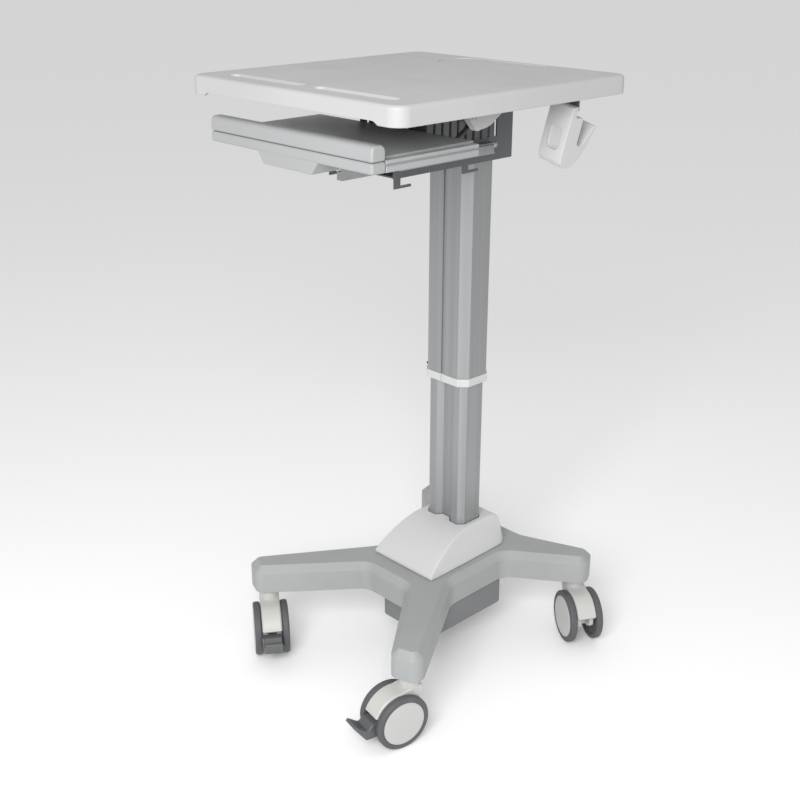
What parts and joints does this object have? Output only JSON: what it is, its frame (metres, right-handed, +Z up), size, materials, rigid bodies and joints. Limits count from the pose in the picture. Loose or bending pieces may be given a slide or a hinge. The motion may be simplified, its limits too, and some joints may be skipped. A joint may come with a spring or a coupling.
{
  "type": "medication cart",
  "caption": "Height-adjustable mobile hospital work cart: moulded worksurface, sliding keyboard tray, telescopic column, cast base on braked twin-wheel casters.",
  "frame": {"origin": "on the floor, under the centre of the bounding box", "axes": "+Z up, -Y towards the user, +X the user's right"},
  "size_m": [0.536, 0.6123, 1.076],
  "materials": {
    "worksurface_plastic": "fine-grained moulded thermoplastic, off-white rim and grey top",
    "tray_plastic": "fine-grained light grey thermoplastic",
    "white_plastic": "satin off-white thermoplastic",
    "base_coating": "casting with light grey powder coat",
    "bracket_steel": "dark grey powder coat on sheet steel",
    "column_aluminium": "satin anodised extrusion",
    "rail_aluminium": "satin anodised extrusion",
    "bright_steel": "zinc-plated or polished steel",
    "black_plastic": "black acetal",
    "black_steel": "black painted steel tube",
    "cable_rubber": "black cable sheath",
    "box_steel": "dark grey powder coat",
    "caster_plastic": "cream moulded nylon",
    "wheel_tyre": "dark grey non-marking tread",
    "wheel_cover": "grey moulded nylon",
    "pedal_plastic": "dark grey glass-filled nylon"
  },
  "bodies": {
    "base": {"base_frame": "base_coating", "base_cover": "white_plastic", "ballast_box": "box_steel", "column_inner": "column_aluminium", "gas_cylinder": "black_steel"},
    "lift": {"column_outer": "column_aluminium", "column_ring": "white_plastic", "column_glide": "black_plastic", "column_head": "bracket_steel", "gas_rod": "bright_steel", "bracket": "bracket_steel", "bracket_screw_l": "bright_steel", "bracket_screw_r": "bright_steel", "worksurface": "worksurface_plastic", "hook_plate": "bracket_steel", "bag_hook": "white_plastic", "lever_mount": "bracket_steel", "lever_pin": "bright_steel", "release_cable": "cable_rubber", "slide_fixed_l": "bright_steel", "slide_fixed_r": "bright_steel"},
    "tray": {"tray_upper": "tray_plastic", "tray_lower": "tray_plastic", "tray_rail_l": "rail_aluminium", "tray_rail_r": "rail_aluminium", "slide_runner_l": "bright_steel", "slide_runner_r": "bright_steel"},
    "lever": {"release_lever": "white_plastic"},
    "caster_fl": {"caster_body_fl": "caster_plastic", "caster_stem_fl": "bright_steel", "caster_axle_fl": "bright_steel", "pedal_pin_fl": "bright_steel"},
    "caster_fr": {"caster_body_fr": "caster_plastic", "caster_stem_fr": "bright_steel", "caster_axle_fr": "bright_steel", "pedal_pin_fr": "bright_steel"},
    "caster_rr": {"caster_body_rr": "caster_plastic", "caster_stem_rr": "bright_steel", "caster_axle_rr": "bright_steel"},
    "caster_rl": {"caster_body_rl": "caster_plastic", "caster_stem_rl": "bright_steel", "caster_axle_rl": "bright_steel"},
    "wheel_fl_l": {"wheel_fl_l": "wheel_tyre", "wheel_cap_fl_l": "wheel_cover"},
    "wheel_fl_r": {"wheel_fl_r": "wheel_tyre", "wheel_cap_fl_r": "wheel_cover"},
    "wheel_fr_l": {"wheel_fr_l": "wheel_tyre", "wheel_cap_fr_l": "wheel_cover"},
    "wheel_fr_r": {"wheel_fr_r": "wheel_tyre", "wheel_cap_fr_r": "wheel_cover"},
    "wheel_rr_l": {"wheel_rr_l": "wheel_tyre", "wheel_cap_rr_l": "wheel_cover"},
    "wheel_rr_r": {"wheel_rr_r": "wheel_tyre", "wheel_cap_rr_r": "wheel_cover"},
    "wheel_rl_l": {"wheel_rl_l": "wheel_tyre", "wheel_cap_rl_l": "wheel_cover"},
    "wheel_rl_r": {"wheel_rl_r": "wheel_tyre", "wheel_cap_rl_r": "wheel_cover"},
    "pedal_fl": {"brake_pedal_fl": "pedal_plastic"},
    "pedal_fr": {"brake_pedal_fr": "pedal_plastic"}
  },
  "joints": [
    {"name": "column_lift", "type": "slide", "parent": "base", "child": "lift", "axis": [0, 0, 1], "range_m": [-0.275, 0.1]},
    {"name": "tray_slide", "type": "slide", "parent": "lift", "child": "tray", "axis": [0, -1, 0], "range_m": [0, 0.15]},
    {"name": "height_release", "type": "hinge", "parent": "lift", "child": "lever", "pos_m": [0.158, -0.0325, 1.029], "axis": [-1, 0, 0], "range_deg": [0, 12], "stiffness_Nm_per_rad": 0.4, "springref_deg": -8.59},
    {"name": "swivel_fl", "type": "hinge", "parent": "base", "child": "caster_fl", "pos_m": [-0.193, -0.1895, 0.11], "axis": [0, 0, 1], "continuous": true},
    {"name": "swivel_fr", "type": "hinge", "parent": "base", "child": "caster_fr", "pos_m": [0.193, -0.1895, 0.11], "axis": [0, 0, 1], "continuous": true},
    {"name": "swivel_rr", "type": "hinge", "parent": "base", "child": "caster_rr", "pos_m": [0.184, 0.2695, 0.11], "axis": [0, 0, 1], "continuous": true},
    {"name": "swivel_rl", "type": "hinge", "parent": "base", "child": "caster_rl", "pos_m": [-0.184, 0.2695, 0.11], "axis": [0, 0, 1], "continuous": true},
    {"name": "roll_fl_l", "type": "hinge", "parent": "caster_fl", "child": "wheel_fl_l", "pos_m": [-0.16813, -0.20628, 0.05], "axis": [0.5592, 0.829, 0], "continuous": true},
    {"name": "roll_fl_r", "type": "hinge", "parent": "caster_fl", "child": "wheel_fl_r", "pos_m": [-0.16813, -0.20628, 0.05], "axis": [0.5592, 0.829, 0], "continuous": true},
    {"name": "roll_fr_l", "type": "hinge", "parent": "caster_fr", "child": "wheel_fr_l", "pos_m": [0.18728, -0.21895, 0.05], "axis": [0.9816, -0.1908, 0], "continuous": true},
    {"name": "roll_fr_r", "type": "hinge", "parent": "caster_fr", "child": "wheel_fr_r", "pos_m": [0.18728, -0.21895, 0.05], "axis": [0.9816, -0.1908, 0], "continuous": true},
    {"name": "roll_rr_l", "type": "hinge", "parent": "caster_rr", "child": "wheel_rr_l", "pos_m": [0.20998, 0.2545, 0.05], "axis": [0.5, 0.866, 0], "continuous": true},
    {"name": "roll_rr_r", "type": "hinge", "parent": "caster_rr", "child": "wheel_rr_r", "pos_m": [0.20998, 0.2545, 0.05], "axis": [0.5, 0.866, 0], "continuous": true},
    {"name": "roll_rl_l", "type": "hinge", "parent": "caster_rl", "child": "wheel_rl_l", "pos_m": [-0.20998, 0.2545, 0.05], "axis": [0.5, -0.866, 0], "continuous": true},
    {"name": "roll_rl_r", "type": "hinge", "parent": "caster_rl", "child": "wheel_rl_r", "pos_m": [-0.20998, 0.2545, 0.05], "axis": [0.5, -0.866, 0], "continuous": true},
    {"name": "brake_fl", "type": "hinge", "parent": "caster_fl", "child": "pedal_fl", "pos_m": [-0.14657, -0.22082, 0.052], "axis": [0.5592, 0.829, 0], "range_deg": [0, 10]},
    {"name": "brake_fr", "type": "hinge", "parent": "caster_fr", "child": "pedal_fr", "pos_m": [0.18232, -0.24447, 0.052], "axis": [0.9816, -0.1908, 0], "range_deg": [0, 10]}
  ]
}
